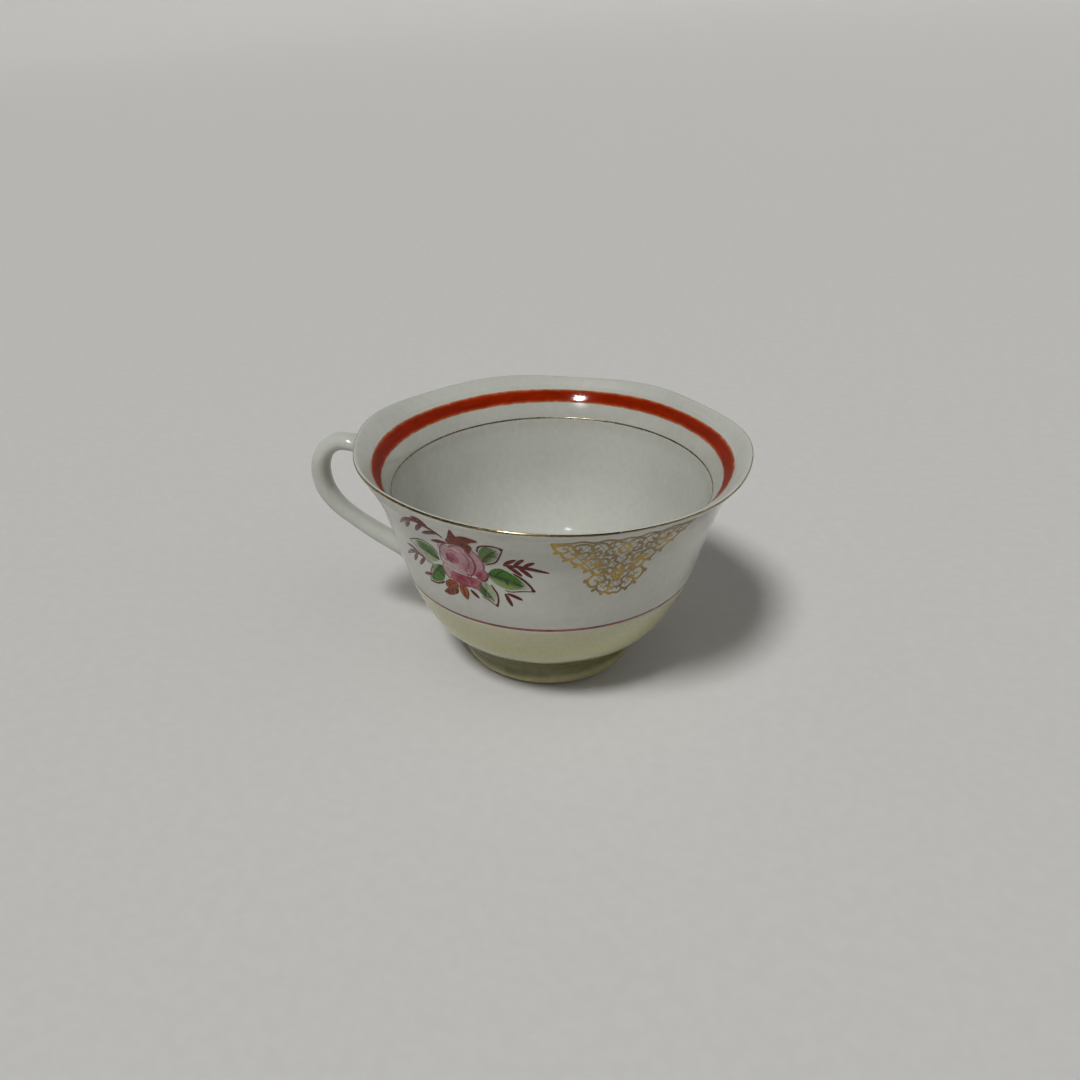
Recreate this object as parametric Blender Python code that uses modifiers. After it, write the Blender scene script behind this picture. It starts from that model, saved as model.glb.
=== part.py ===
"""A porcelain teacup with a sprung, softly lobed lip, a bell-shaped wall and one loop handle.

Metres, +Z up. The cup stands on Z = 0 with its handle towards -X, and the origin is the bottom
centre of the whole cup's box, so the axis that the bowl was turned on stands a little towards +X.
Every profile below is written as (radius, height) in millimetres about that axis.
"""
import math

import bmesh
import bpy
from mathutils import Matrix

MM = 0.001

# Driving dimensions, in millimetres.
LIP_RADIUS = 47.7
CUP_HEIGHT = 57.9
FLOOR_TOP = 10.6
JOINT_HEIGHT = 7.4
FOOT_RADIUS = 19.6
HANDLE_REACH = 61.7
GAP = 0.3
SKIN = 0.35
SLIP = 0.4
SEGMENTS = 56
SHARP_ANGLE = 40.0
AXIS_X = (HANDLE_REACH - LIP_RADIUS) / 2 * MM

# The lip isn't a true circle: (waves around, millimetres, degrees of the highest wave).
LIP_OUTWARD = ((1, 0.80, 157.0), (2, 1.26, -32.0), (7, 0.32, 9.7))
LIP_UPWARD = ((1, 0.63, -116.0), (2, 0.25, 34.0), (7, 0.21, 10.0))
LIP_BENDS_FROM = 49.0

# Profiles, from the lip down.
LIP_TOP = ((46.75, CUP_HEIGHT), (47.25, CUP_HEIGHT + 0.15))
OUTER_WALL = (
    (LIP_RADIUS, CUP_HEIGHT),
    (45.7, 54.9),
    (43.6, 51.0),
    (41.7, 46.2),
    (39.6, 38.5),
    (37.7, 30.8),
    (35.1, 23.1),
    (31.9, 16.5),
    (29.2, 12.8),
    (25.4, 9.8),
    (23.3, JOINT_HEIGHT),
)
INNER_WALL = (
    (46.2, 57.45),
    (43.7, 54.95),
    (41.3, 51.6),
    (39.3, 48.0),
    (38.3, 44.0),
    (36.8, 38.0),
    (34.9, 31.0),
    (32.0, 24.0),
    (27.6, 17.5),
    (21.0, 12.8),
    (12.0, 10.9),
    (0.0, FLOOR_TOP),
)
FOOT_OUTSIDE = (
    (23.1, JOINT_HEIGHT - GAP),
    (22.3, 5.6),
    (22.1, 4.2),
    (22.4, 2.8),
    (21.5, 1.2),
    (20.5, 0.4),
    (FOOT_RADIUS, 0.0),
)
FOOT_INSIDE = ((18.2, 0.0), (17.4, 0.8), (16.9, JOINT_HEIGHT - GAP))

# The decoration's edges, as heights up the wall in millimetres.
RED_BAND = (54.7, 51.7)
INNER_LINE = (48.3, 47.7)
MAROON_LINE = (28.0, 27.4)
YELLOW_GROUND = (27.0, 8.2)
FOOT_ENAMEL = (6.4, 1.0)
RIM_GILDING = ((LIP_RADIUS, CUP_HEIGHT), (LIP_RADIUS - 0.45, CUP_HEIGHT - 0.7))

# Transfers: degrees around the axis, height of the middle, width and height in millimetres.
ROSE_DECAL = (-110.0, 42.5, 38.0, 19.0)
LACE_DECAL = (-63.0, 46.0, 27.0, 15.0)
LACE_POINT = 0.14
DECAL_COLUMNS = 12
DECAL_ROWS = 8
DECAL_LIFT = 0.1

# The handle's middle line, as (radius, height, scale of its section), from the lip to the lower end.
HANDLE_LINE = (
    (44.0, 52.9, 1.00),
    (47.4, 55.1, 0.93),
    (50.4, 56.1, 0.90),
    (54.3, 55.9, 0.90),
    (57.4, 53.6, 0.96),
    (59.0, 50.0, 1.02),
    (59.2, 46.0, 1.02),
    (58.1, 42.0, 0.98),
    (55.3, 38.0, 0.90),
    (51.2, 34.5, 0.86),
    (46.7, 31.3, 0.89),
    (42.0, 28.4, 0.95),
    (35.5, 24.9, 1.15),
)
HANDLE_THICK = 2.45
HANDLE_WIDE = 3.1
HANDLE_SIDES = 16

# Each slip joint lies between two heights, and the cutters reach past the parts that they cut.
UPPER_JOINT_HEIGHTS = (44.0, 70.0)
LOWER_JOINT_HEIGHTS = (10.0, 40.0)
CUTTER_RADII = (20.0, 70.0)
CUTTER_TOP = CUP_HEIGHT + 8.0
CUTTER_MARGIN = 1.0

COLOURS = {
    "porcelain": ((0.72, 0.72, 0.68), 0.18, 0.0),
    "slip": ((0.66, 0.65, 0.60), 0.35, 0.0),
    "gold": ((0.62, 0.45, 0.18), 0.25, 1.0),
    "iron_red": ((0.34, 0.035, 0.012), 0.22, 0.0),
    "maroon": ((0.26, 0.05, 0.06), 0.30, 0.0),
    "yellow": ((0.70, 0.68, 0.42), 0.22, 0.0),
    "olive": ((0.48, 0.47, 0.25), 0.25, 0.0),
    "rose": ((0.62, 0.22, 0.30), 0.30, 0.0),
}


def clear_scene():
    for obj in list(bpy.data.objects):
        bpy.data.objects.remove(obj, do_unlink=True)


def collection(name):
    group = bpy.data.collections.new(name)
    bpy.context.scene.collection.children.link(group)
    return group


def material(name):
    colour, roughness, metallic = COLOURS[name]
    made = bpy.data.materials.new(name)
    made.use_nodes = True
    shader = made.node_tree.nodes["Principled BSDF"]
    shader.inputs["Base Color"].default_value = (*colour, 1.0)
    shader.inputs["Roughness"].default_value = roughness
    shader.inputs["Metallic"].default_value = metallic
    made.diffuse_color = (*colour, 1.0)
    return made


def wave(harmonics, angle):
    return sum(size * math.cos(n * (angle - math.radians(top))) for n, size, top in harmonics)


def spring_lip(mesh):
    """Bends the top of a turned mesh outward and upward, as the real lip sprang in the kiln."""
    for vertex in mesh.vertices:
        x, y, z = vertex.co
        share = max(0.0, (z / MM - LIP_BENDS_FROM) / (CUP_HEIGHT - LIP_BENDS_FROM)) ** 3
        radius = math.hypot(x, y)
        if share and radius > 1e-6:
            angle = math.atan2(y, x)
            grow = 1.0 + wave(LIP_OUTWARD, angle) * MM * share / radius
            vertex.co = (x * grow, y * grow, z + wave(LIP_UPWARD, angle) * MM * share)


def smooth_line(points, steps=2):
    """Points on a Catmull-Rom curve through the given ones."""
    ends = [points[0], *points, points[-1]]
    line = []
    for a, b, c, d in zip(ends, ends[1:], ends[2:], ends[3:]):
        for i in range(steps):
            t = i / steps
            line.append(
                tuple(
                    0.5 * (2 * q + (r - p) * t + (2 * p - 5 * q + 4 * r - s) * t**2
                           + (3 * q - p - 3 * r + s) * t**3)
                    for p, q, r, s in zip(a, b, c, d)
                )
            )
    return line + [tuple(points[-1])]


def offset(line, distance):
    """The line moved to its outer side, for a line that runs down an outer wall."""
    moved = []
    for i, (r, z) in enumerate(line):
        before, after = line[max(i - 1, 0)], line[min(i + 1, len(line) - 1)]
        dr, dz = after[0] - before[0], after[1] - before[1]
        length = math.hypot(dr, dz)
        moved.append((r - dz / length * distance, z + dr / length * distance))
    return moved


def at_height(line, height):
    for (r0, z0), (r1, z1) in zip(line, line[1:]):
        if (z0 - height) * (z1 - height) <= 0 and z0 != z1:
            return r0 + (r1 - r0) * (height - z0) / (z1 - z0)
    raise ValueError(f"the line has no point at height {height}")


def stretch(line, top, bottom, count):
    """The part of a wall between two heights, as count + 1 points from the top down."""
    heights = [top + (bottom - top) * i / count for i in range(count + 1)]
    return [(at_height(line, z), z) for z in heights]


def turned(name, profile, group, closed=True, sprung=True):
    """A solid of revolution about the cup's axis, from a profile that runs down its outer side."""
    mesh = bpy.data.meshes.new(name)
    points = [(r * MM, 0.0, z * MM) for r, z in profile]
    edges = [(i, i + 1) for i in range(len(points) - 1)]
    if closed:
        edges.append((len(points) - 1, 0))
    mesh.from_pydata(points, edges, [])
    obj = bpy.data.objects.new(name, mesh)
    group.objects.link(obj)
    screw = obj.modifiers.new("Turn", "SCREW")
    screw.steps = SEGMENTS
    screw.render_steps = SEGMENTS
    screw.use_merge_vertices = True
    screw.merge_threshold = 0.00001
    obj = as_mesh(obj)
    if sprung:
        spring_lip(obj.data)
    obj.location.x = AXIS_X
    obj.data.shade_smooth()
    obj.data.set_sharp_from_angle(angle=math.radians(SHARP_ANGLE))
    return obj


def as_mesh(obj):
    """Replaces an object by the same object with its modifiers and curve made into a mesh."""
    name = obj.name
    group = obj.users_collection[0]
    depsgraph = bpy.context.evaluated_depsgraph_get()
    mesh = bpy.data.meshes.new_from_object(obj.evaluated_get(depsgraph))
    work = bmesh.new()
    work.from_mesh(mesh)
    bmesh.ops.remove_doubles(work, verts=work.verts, dist=0.000001)
    work.to_mesh(mesh)
    work.free()
    fresh = bpy.data.objects.new(name + "_mesh", mesh)
    fresh.matrix_world = obj.matrix_world.copy()
    group.objects.link(fresh)
    bpy.data.objects.remove(obj, do_unlink=True)
    fresh.name = name
    fresh.data.name = name
    return fresh


def finish(obj, material_name):
    obj.data.materials.clear()
    obj.data.materials.append(material(material_name))
    return obj


def boolean(obj, cutter, operation):
    modifier = obj.modifiers.new(f"{operation.title()} {cutter.name}", "BOOLEAN")
    modifier.operation = operation
    modifier.solver = "EXACT"
    modifier.object = cutter


def guide(obj):
    obj.hide_render = True
    obj.display_type = "WIRE"
    return obj


def skin(name, line, side, material_name, group):
    """A thin fired-on layer that follows a stretch of wall, on its outer (1) or inner (-1) side."""
    near = offset(line, GAP * side)
    far = offset(line, (GAP + SKIN) * side)
    outer, inner = (far, near) if side > 0 else (near, far)
    return finish(turned(name, outer + inner[::-1], group), material_name)


def make_bowl(group):
    inside = smooth_line(INNER_WALL)
    outside = smooth_line(OUTER_WALL)
    underside = [(0.0, JOINT_HEIGHT)]
    profile = inside[::-1] + list(LIP_TOP) + outside + underside
    return finish(turned("bowl", profile, group, closed=False), "porcelain")


def make_foot_ring(group):
    profile = smooth_line(FOOT_OUTSIDE) + list(FOOT_INSIDE)
    return finish(turned("foot_ring", profile, group), "porcelain")


def make_enamels(group, handle_room):
    outside = smooth_line(OUTER_WALL, 6)
    # The inner wall is read from the lip down too, so its outer side faces away from the tea.
    inside = smooth_line(INNER_WALL, 6)
    skin("red_band", stretch(inside, *RED_BAND, 2), -1, "iron_red", group)
    skin("inner_gold_line", stretch(inside, *INNER_LINE, 1), -1, "gold", group)
    line = skin("maroon_line", stretch(outside, *MAROON_LINE, 1), 1, "maroon", group)
    ground = skin("yellow_ground", stretch(outside, *YELLOW_GROUND, 6), 1, "yellow", group)
    boolean(line, handle_room, "DIFFERENCE")
    boolean(ground, handle_room, "DIFFERENCE")
    foot = smooth_line(FOOT_OUTSIDE, 6)
    skin("foot_enamel", stretch(foot, *FOOT_ENAMEL, 4), 1, "olive", group)


def make_rim_gilding(group, handle_room):
    boolean(skin("rim_gilding", RIM_GILDING, 1, "gold", group), handle_room, "DIFFERENCE")


def handle_blank(name, group, spare=0.0):
    """The bare handle, a little too long at both ends: a round tube, widened across its plane."""
    curve = bpy.data.curves.new(name, "CURVE")
    curve.dimensions = "3D"
    curve.bevel_depth = (HANDLE_THICK + spare) * MM
    curve.bevel_resolution = HANDLE_SIDES // 4 - 1
    curve.use_fill_caps = True
    line = smooth_line(HANDLE_LINE, 3)
    spline = curve.splines.new("POLY")
    spline.points.add(len(line) - 1)
    for point, (r, z, size) in zip(spline.points, line):
        point.co = (AXIS_X - r * MM, 0.0, z * MM, 1.0)
        point.radius = size
    obj = bpy.data.objects.new(name, curve)
    group.objects.link(obj)
    obj = as_mesh(obj)
    widening = (HANDLE_WIDE + spare) / (HANDLE_THICK + spare)
    obj.data.transform(Matrix.Diagonal((1.0, widening, 1.0, 1.0)))
    return obj


def clearance(name, distance, group):
    """Everything within a distance of the bowl's outer wall, and all that lies inside it."""
    wall = offset(smooth_line(OUTER_WALL), distance)
    above = [(0.0, CUTTER_TOP), (wall[0][0] + CUTTER_MARGIN, CUTTER_TOP)]
    below = [(0.0, wall[-1][1])]
    return guide(turned(name, above + wall + below, group, closed=False))


def make_handle(group, cutters):
    wall = clearance("wall_and_slip", 2 * GAP + SLIP, cutters)
    handle = handle_blank("handle", group)
    boolean(handle, wall, "DIFFERENCE")
    handle.data.shade_smooth()
    handle.data.set_sharp_from_angle(angle=math.radians(SHARP_ANGLE))
    return finish(handle, "porcelain")


def make_slip_joints(group, cutters):
    near = clearance("wall_clearance", GAP, cutters)
    far = clearance("slip_outer", GAP + SLIP, cutters)
    near_r, far_r = CUTTER_RADII
    ends = (("upper_slip_joint", UPPER_JOINT_HEIGHTS), ("lower_slip_joint", LOWER_JOINT_HEIGHTS))
    for name, (low, high) in ends:
        joint = handle_blank(name, group)
        section = [(near_r, high), (far_r, high), (far_r, low), (near_r, low)]
        band = turned(name + "_heights", section, cutters, sprung=False)
        boolean(joint, guide(band), "INTERSECT")
        boolean(joint, far, "INTERSECT")
        boolean(joint, near, "DIFFERENCE")
        finish(joint, "slip")


def disc_map(x, y):
    """Maps the square from -1 to 1 onto a disc."""
    return x * math.sqrt(1 - y * y / 2), y * math.sqrt(1 - x * x / 2)


def pendant_map(x, y):
    """Maps the square from -1 to 1 onto a triangle that hangs point down."""
    return x * (LACE_POINT + (1 - LACE_POINT) * (y + 1) / 2), y


def decal(name, place, shape, material_name, group):
    """A thin transfer laid on the outer wall, with its middle at an angle and a height."""
    angle, middle, width, height = place
    wall = smooth_line(OUTER_WALL, 6)
    mesh = bpy.data.meshes.new(name)
    work = bmesh.new()
    bmesh.ops.create_grid(work, x_segments=DECAL_COLUMNS, y_segments=DECAL_ROWS, size=1.0)
    for vertex in work.verts:
        x, y = shape(vertex.co.x, vertex.co.y)
        z = middle + y * height / 2
        radius = at_height(wall, z) + GAP + DECAL_LIFT
        turn = math.radians(angle) + x * width / 2 / at_height(wall, middle)
        vertex.co = (radius * MM * math.cos(turn), radius * MM * math.sin(turn), z * MM)
    work.to_mesh(mesh)
    work.free()
    spring_lip(mesh)
    obj = bpy.data.objects.new(name, mesh)
    obj.location.x = AXIS_X
    group.objects.link(obj)
    solidify = obj.modifiers.new("Thickness", "SOLIDIFY")
    solidify.thickness = SKIN * MM
    solidify.offset = 1.0
    return finish(obj, material_name)


def make_decals(group):
    decal("rose_decal", ROSE_DECAL, disc_map, "rose", group)
    decal("lace_decal", LACE_DECAL, pendant_map, "gold", group)


def main():
    clear_scene()
    cup = collection("teacup")
    cutters = collection("cutters")
    make_bowl(cup)
    make_foot_ring(cup)
    make_handle(cup, cutters)
    make_slip_joints(cup, cutters)
    handle_room = guide(handle_blank("handle_room", cutters, GAP))
    make_rim_gilding(cup, handle_room)
    make_enamels(cup, handle_room)
    make_decals(cup)


main()
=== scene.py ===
"""Looks of a porcelain teacup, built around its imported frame.

The glazed body is one fine smooth surface for each clay piece. The enamels, the gilding and the
transfers are thin raised layers that follow the wall. Profiles are (radius, height) in millimetres
about the axis that the cup was turned on. Motifs are drawn on a flat chart, in millimetres around
and up the wall, and then laid onto it.
"""
import math

import bpy
import numpy as np
from mathutils import Matrix, Vector, noise


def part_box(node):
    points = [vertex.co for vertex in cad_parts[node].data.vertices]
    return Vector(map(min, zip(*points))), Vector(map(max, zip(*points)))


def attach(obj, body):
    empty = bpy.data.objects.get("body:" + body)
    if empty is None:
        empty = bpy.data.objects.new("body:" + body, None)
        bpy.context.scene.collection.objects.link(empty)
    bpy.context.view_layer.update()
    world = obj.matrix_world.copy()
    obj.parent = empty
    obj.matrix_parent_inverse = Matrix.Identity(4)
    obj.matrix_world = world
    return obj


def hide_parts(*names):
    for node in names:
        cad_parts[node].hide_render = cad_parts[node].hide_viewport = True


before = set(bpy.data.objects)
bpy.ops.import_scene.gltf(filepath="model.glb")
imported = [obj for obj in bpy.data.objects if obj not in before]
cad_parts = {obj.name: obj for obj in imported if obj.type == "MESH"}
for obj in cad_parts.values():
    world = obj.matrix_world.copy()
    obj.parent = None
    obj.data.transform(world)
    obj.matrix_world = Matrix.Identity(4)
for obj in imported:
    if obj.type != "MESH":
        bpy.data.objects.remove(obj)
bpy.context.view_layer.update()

MM = 0.001

FOOT_LOW, FOOT_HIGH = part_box("foot_ring")
AXIS = Vector(((FOOT_LOW.x + FOOT_HIGH.x) / 2, (FOOT_LOW.y + FOOT_HIGH.y) / 2, FOOT_LOW.z))

# The lip isn't a true circle: (waves around, millimetres, degrees of the highest wave).
LIP_OUTWARD = ((1, 0.8, 157.0), (2, 1.26, -32.0), (7, 0.32, 9.7))
LIP_UPWARD = ((1, 0.63, -116.0), (2, 0.25, 34.0), (7, 0.21, 10.0))
LIP_BENDS_FROM = 49.0
LIP_HEIGHT = 57.9

# Profiles of the wall and the foot. The outer ones run on from each other, down from the lip.
INNER_WALL = (
    (0.0, 10.6), (12.0, 10.9), (21.0, 12.8), (27.6, 17.5), (32.0, 24.0), (34.9, 31.0),
    (36.8, 38.0), (38.3, 44.0), (39.3, 48.0), (41.3, 51.6), (43.7, 54.95), (46.2, 57.45),
)
LIP_EDGE = ((46.7, 57.83), (47.15, 58.0), (47.52, 57.9), (47.63, 57.6), (47.35, 57.2))
OUTER_WALL = (
    (46.9, 56.6), (45.7, 54.9), (43.6, 51.0), (41.7, 46.2), (39.6, 38.5), (37.7, 30.8),
    (35.1, 23.1), (31.9, 16.5), (29.2, 12.8), (25.4, 9.8), (23.3, 7.4),
)
FOOT_WALL = ((22.3, 5.6), (22.1, 4.2), (22.4, 2.8), (21.7, 1.2), (20.6, 0.3), (19.6, 0.0))
FOOT_HOLLOW = ((18.2, 0.0), (17.5, 0.5), (17.2, 1.6), (16.8, 5.0), (15.9, 6.6), (14.6, 7.15))
UNDERSIDE = ((22.4, 7.5), (14.0, 7.2), (0.0, 7.5))

# The decoration's edges, as heights on the wall in millimetres.
RED_BAND = (54.95, 51.6)
INNER_LINE = (48.2, 47.75)
MAROON_LINE = (28.05, 27.25)
YELLOW_GROUND = (27.05, 7.9)
FOOT_ENAMEL = (8.3, 0.7)
# The rim's gilding covers the lip where its normal's upward part lies between these two, no lower
# than its depth under the lip, and within the first points of the outer wall.
RIM_GOLD = (0.93, -0.38)
RIM_DEPTH = 0.9
RIM_POINTS = 14

# How far the layers' edges and undersides lie under the glaze, in millimetres.
EDGE_SUNK = 0.02
PATCH_RIM_SUNK = 0.03
LAYER_SUNK = 0.1
STROKE_SUNK = 0.11
PATCH_SUNK = 0.12
# Painted shapes lie on each other in levels this far apart.
LEVEL_STEP = 0.018
# The places of a stroke's points across its half width.
STROKE_ACROSS = (-1.0, -0.62, -0.2, 0.2, 0.62, 1.0)
# Each motif's middle, as its degrees around the cup and its height.
ROSE_PLACE = (-110.0, 43.0)
LACE_PLACE = (-63.0, 46.0)

# The handle's middle line, as (radius, height, scale of its section), from the lip to the lower end.
HANDLE_LINE = (
    (44.0, 52.9, 1.0), (47.4, 55.0, 0.93), (50.4, 56.0, 0.9), (54.3, 55.9, 0.9), (57.4, 53.6, 0.96),
    (59.0, 50.0, 1.02), (59.2, 46.0, 1.02), (58.1, 42.0, 0.98), (55.3, 38.0, 0.9), (51.2, 34.5, 0.86),
    (46.7, 31.3, 0.9), (42.0, 28.45, 0.95), (35.5, 25.1, 1.15),
)
HANDLE_THICK = 2.45
HANDLE_WIDE = 3.1
HANDLE_SUNK = 0.35
UPPER_FILLET = 1.6
LOWER_FILLET = 2.3

# Points around the cup, around the handle and along it.
AROUND = 288
HANDLE_SIDES = 56
HANDLE_ROWS = 150


# ---- shapes of revolution


def catmull_rom(points, steps):
    ends = [points[0], *points, points[-1]]
    line = []
    for a, b, c, d in zip(ends, ends[1:], ends[2:], ends[3:]):
        for i in range(steps):
            t = i / steps
            line.append([
                0.5 * (2 * q + (r - p) * t + (2 * p - 5 * q + 4 * r - s) * t**2
                       + (3 * q - p - 3 * r + s) * t**3)
                for p, q, r, s in zip(a, b, c, d)
            ])
    return np.array(line + [list(points[-1])])


def distances(line):
    """How far along a polyline each of its points is."""
    return np.concatenate([[0.0], np.cumsum(np.linalg.norm(np.diff(line, axis=0), axis=1))])


def directions(line):
    """Unit vectors along a polyline at its points."""
    run = np.gradient(line, axis=0)
    return run / np.maximum(np.linalg.norm(run, axis=1), 1e-9)[:, None]


def crosswise(run):
    """Flat vectors turned left by a right angle."""
    return np.stack([-run[:, 1], run[:, 0]], axis=1)


def resample(line, spacing):
    """Points on a polyline at even distances."""
    along = distances(line[:, :2])
    count = max(2, int(round(along[-1] / spacing)) + 1)
    wanted = np.linspace(0.0, along[-1], count)
    return np.stack([np.interp(wanted, along, line[:, k]) for k in range(line.shape[1])], axis=1)


def eased(line, passes):
    """Evens out a polyline's curvature and keeps its ends."""
    line = line.copy()
    for _ in range(passes):
        line[1:-1] = 0.5 * line[1:-1] + 0.25 * (line[:-2] + line[2:])
    return line


def smooth(points, spacing=0.2, passes=12):
    return eased(resample(catmull_rom(points, 24), spacing), passes)


def wave(harmonics, angle):
    return sum(size * np.cos(n * (angle - math.radians(top))) for n, size, top in harmonics)


def spring(height):
    """The share of the lip's bend at a height."""
    return np.clip((height - LIP_BENDS_FROM) / (LIP_HEIGHT - LIP_BENDS_FROM), 0.0, None) ** 3


def sprung(radius, height, angle):
    """Radius and height after the lip has sprung out of round."""
    share = spring(height)
    return radius + wave(LIP_OUTWARD, angle) * share, height + wave(LIP_UPWARD, angle) * share


def placed(radius, height, angle):
    """World positions, in metres, of points given about the cup's axis in millimetres."""
    radius, height = sprung(radius, height, angle)
    x, y = AXIS.x + radius * np.cos(angle) * MM, AXIS.y + radius * np.sin(angle) * MM
    return np.stack([x, y, AXIS.z + height * MM], axis=-1)


def add_object(name, data):
    obj = bpy.data.objects.new(name, data)
    bpy.context.scene.collection.objects.link(obj)
    return obj


def make_object(name, verts, faces):
    mesh = bpy.data.meshes.new(name)
    mesh.from_pydata([tuple(v) for v in verts], [], faces)
    mesh.validate()
    mesh.shade_smooth()
    return add_object(name, mesh)


def quads(rows, columns, closed_rows=False, closed_columns=True):
    """Faces between the points of a grid, row after row."""
    faces = []
    for i in range(rows if closed_rows else rows - 1):
        here, there = i * columns, (i + 1) % rows * columns
        for k in range(columns if closed_columns else columns - 1):
            m = (k + 1) % columns
            faces.append((here + k, here + m, there + m, there + k))
    return faces


def store(obj, name, values):
    """Keeps one number for each vertex, which the material reads."""
    attribute = obj.data.attributes.new(name, "FLOAT", "POINT")
    attribute.data.foreach_set("value", np.asarray(values, np.float32))


def turned(name, profile, closed=False):
    """A solid of revolution. An open profile starts and ends on the axis."""
    profile = np.asarray(profile, float)
    rings = profile if closed else profile[1:-1]
    count = len(rings)
    angles = np.linspace(0.0, 2 * math.pi, AROUND, endpoint=False)
    verts = placed(rings[None, :, 0], rings[None, :, 1] + 0 * angles[:, None], angles[:, None])
    verts = verts.reshape(-1, 3)
    faces = quads(AROUND, count, closed_rows=True, closed_columns=closed)
    if not closed:
        tips = placed(profile[[0, -1], 0], profile[[0, -1], 1], np.zeros(2))
        first, last = len(verts), len(verts) + 1
        verts = np.concatenate([verts, tips])
        for j in range(AROUND):
            here, there = j * count, (j + 1) % AROUND * count
            faces.append((first, here, there))
            faces.append((last, there + count - 1, here + count - 1))
    return face_out(make_object(name, verts, faces))


def face_out(obj):
    """Turns a closed mesh's faces outward, by the sign of its volume."""
    mesh = obj.data
    mesh.calc_loop_triangles()
    corners = np.array([[mesh.vertices[i].co for i in t.vertices] for t in mesh.loop_triangles])
    volume = np.einsum("ij,ij->i", corners[:, 0], np.cross(corners[:, 1], corners[:, 2])).sum()
    if volume < 0:
        mesh.flip_normals()
    return obj


def normals(line, side):
    """Unit normals of a line that runs down an outer wall (side 1) or down an inner wall (side -1)."""
    return crosswise(directions(line)) * side


def stretch(line, top, bottom, spacing):
    """The part of a wall between two heights, from the top down."""
    order = line[::-1] if line[0, 1] < line[-1, 1] else line
    heights = order[:, 1]
    inside = order[(heights < top) & (heights > bottom)]
    ends = [[np.interp(h, heights[::-1], order[::-1, 0]), h] for h in (top, bottom)]
    return resample(np.concatenate([[ends[0]], inside, [ends[1]]]), spacing)


def layer(name, line, side, lift, edge):
    """A thin fired-on layer over a stretch of wall, which swells from nothing at its two edges."""
    out = normals(line, side)
    along = distances(line)
    margin = np.minimum(along, along[-1] - along)
    share = np.clip(margin / edge, 0.0, 1.0)
    height = (lift + EDGE_SUNK) * share * (2.0 - share) - EDGE_SUNK
    top = line + out * height[:, None]
    under = line - out * LAYER_SUNK
    obj = turned(name, np.concatenate([top, under[::-1]]), closed=True)
    both = np.concatenate([margin, margin[::-1]])
    store(obj, "margin", np.tile(both, AROUND))
    return obj


INSIDE = smooth(INNER_WALL)
OUTSIDE = smooth(LIP_EDGE + OUTER_WALL + FOOT_WALL, passes=6)
OUTSIDE_NORMALS = normals(OUTSIDE, 1)


def make_bowl():
    shell = smooth(INNER_WALL + LIP_EDGE + OUTER_WALL, passes=6)
    below = resample(np.array(OUTER_WALL[-1:] + UNDERSIDE), 0.8)
    # The long walls need fewer rings than the lip's tight turn does.
    reach = np.linalg.norm(shell - np.array(LIP_EDGE[1]), axis=1)
    keep = (reach < 2.5) | (np.arange(len(shell)) % 3 == 0)
    return turned("bowl_body", np.concatenate([shell[keep], below[1:]]))


def make_foot():
    shoulder = ((23.2, 7.55), (23.0, 7.2))
    outside = smooth(shoulder + FOOT_WALL, spacing=0.25, passes=3)
    hollow = smooth(FOOT_HOLLOW, spacing=0.25, passes=3)
    top = resample(np.array((FOOT_HOLLOW[-1], (14.9, 7.9), (22.6, 7.9), shoulder[0])), 0.6)
    return turned("foot_body", np.concatenate([outside, hollow[1:], top[1:-1]]), closed=True)


# ---- handle


def unsprung(points):
    """Radius and height on the round cup, for world-size points about its axis in millimetres."""
    angle = np.arctan2(points[:, 1], points[:, 0])
    radius = np.hypot(points[:, 0], points[:, 1])
    height = points[:, 2].copy()
    for _ in range(3):
        share = spring(height)
        height = points[:, 2] - wave(LIP_UPWARD, angle) * share
    return np.stack([radius - wave(LIP_OUTWARD, angle) * share, height], axis=1)


def wall_distance(points):
    """Distance from the outer wall, positive outside, and the way out, for 3D points in millimetres."""
    flat = unsprung(points)
    start, end = OUTSIDE[:-1], OUTSIDE[1:]
    run = end - start
    gap = flat[:, None, :] - start[None]
    share = np.clip((gap * run).sum(2) / (run * run).sum(1), 0.0, 1.0)
    apart = gap - share[..., None] * run
    reach = np.linalg.norm(apart, axis=2)
    nearest = reach.argmin(1)
    rows = np.arange(len(points))
    way = (crosswise(run) / np.linalg.norm(run, axis=1)[:, None])[nearest]
    sign = np.sign((apart[rows, nearest] * way).sum(1))
    angle = np.arctan2(points[:, 1], points[:, 0])
    normal = np.stack([way[:, 0] * np.cos(angle), way[:, 0] * np.sin(angle), way[:, 1]], axis=1)
    return reach[rows, nearest] * sign, normal


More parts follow.
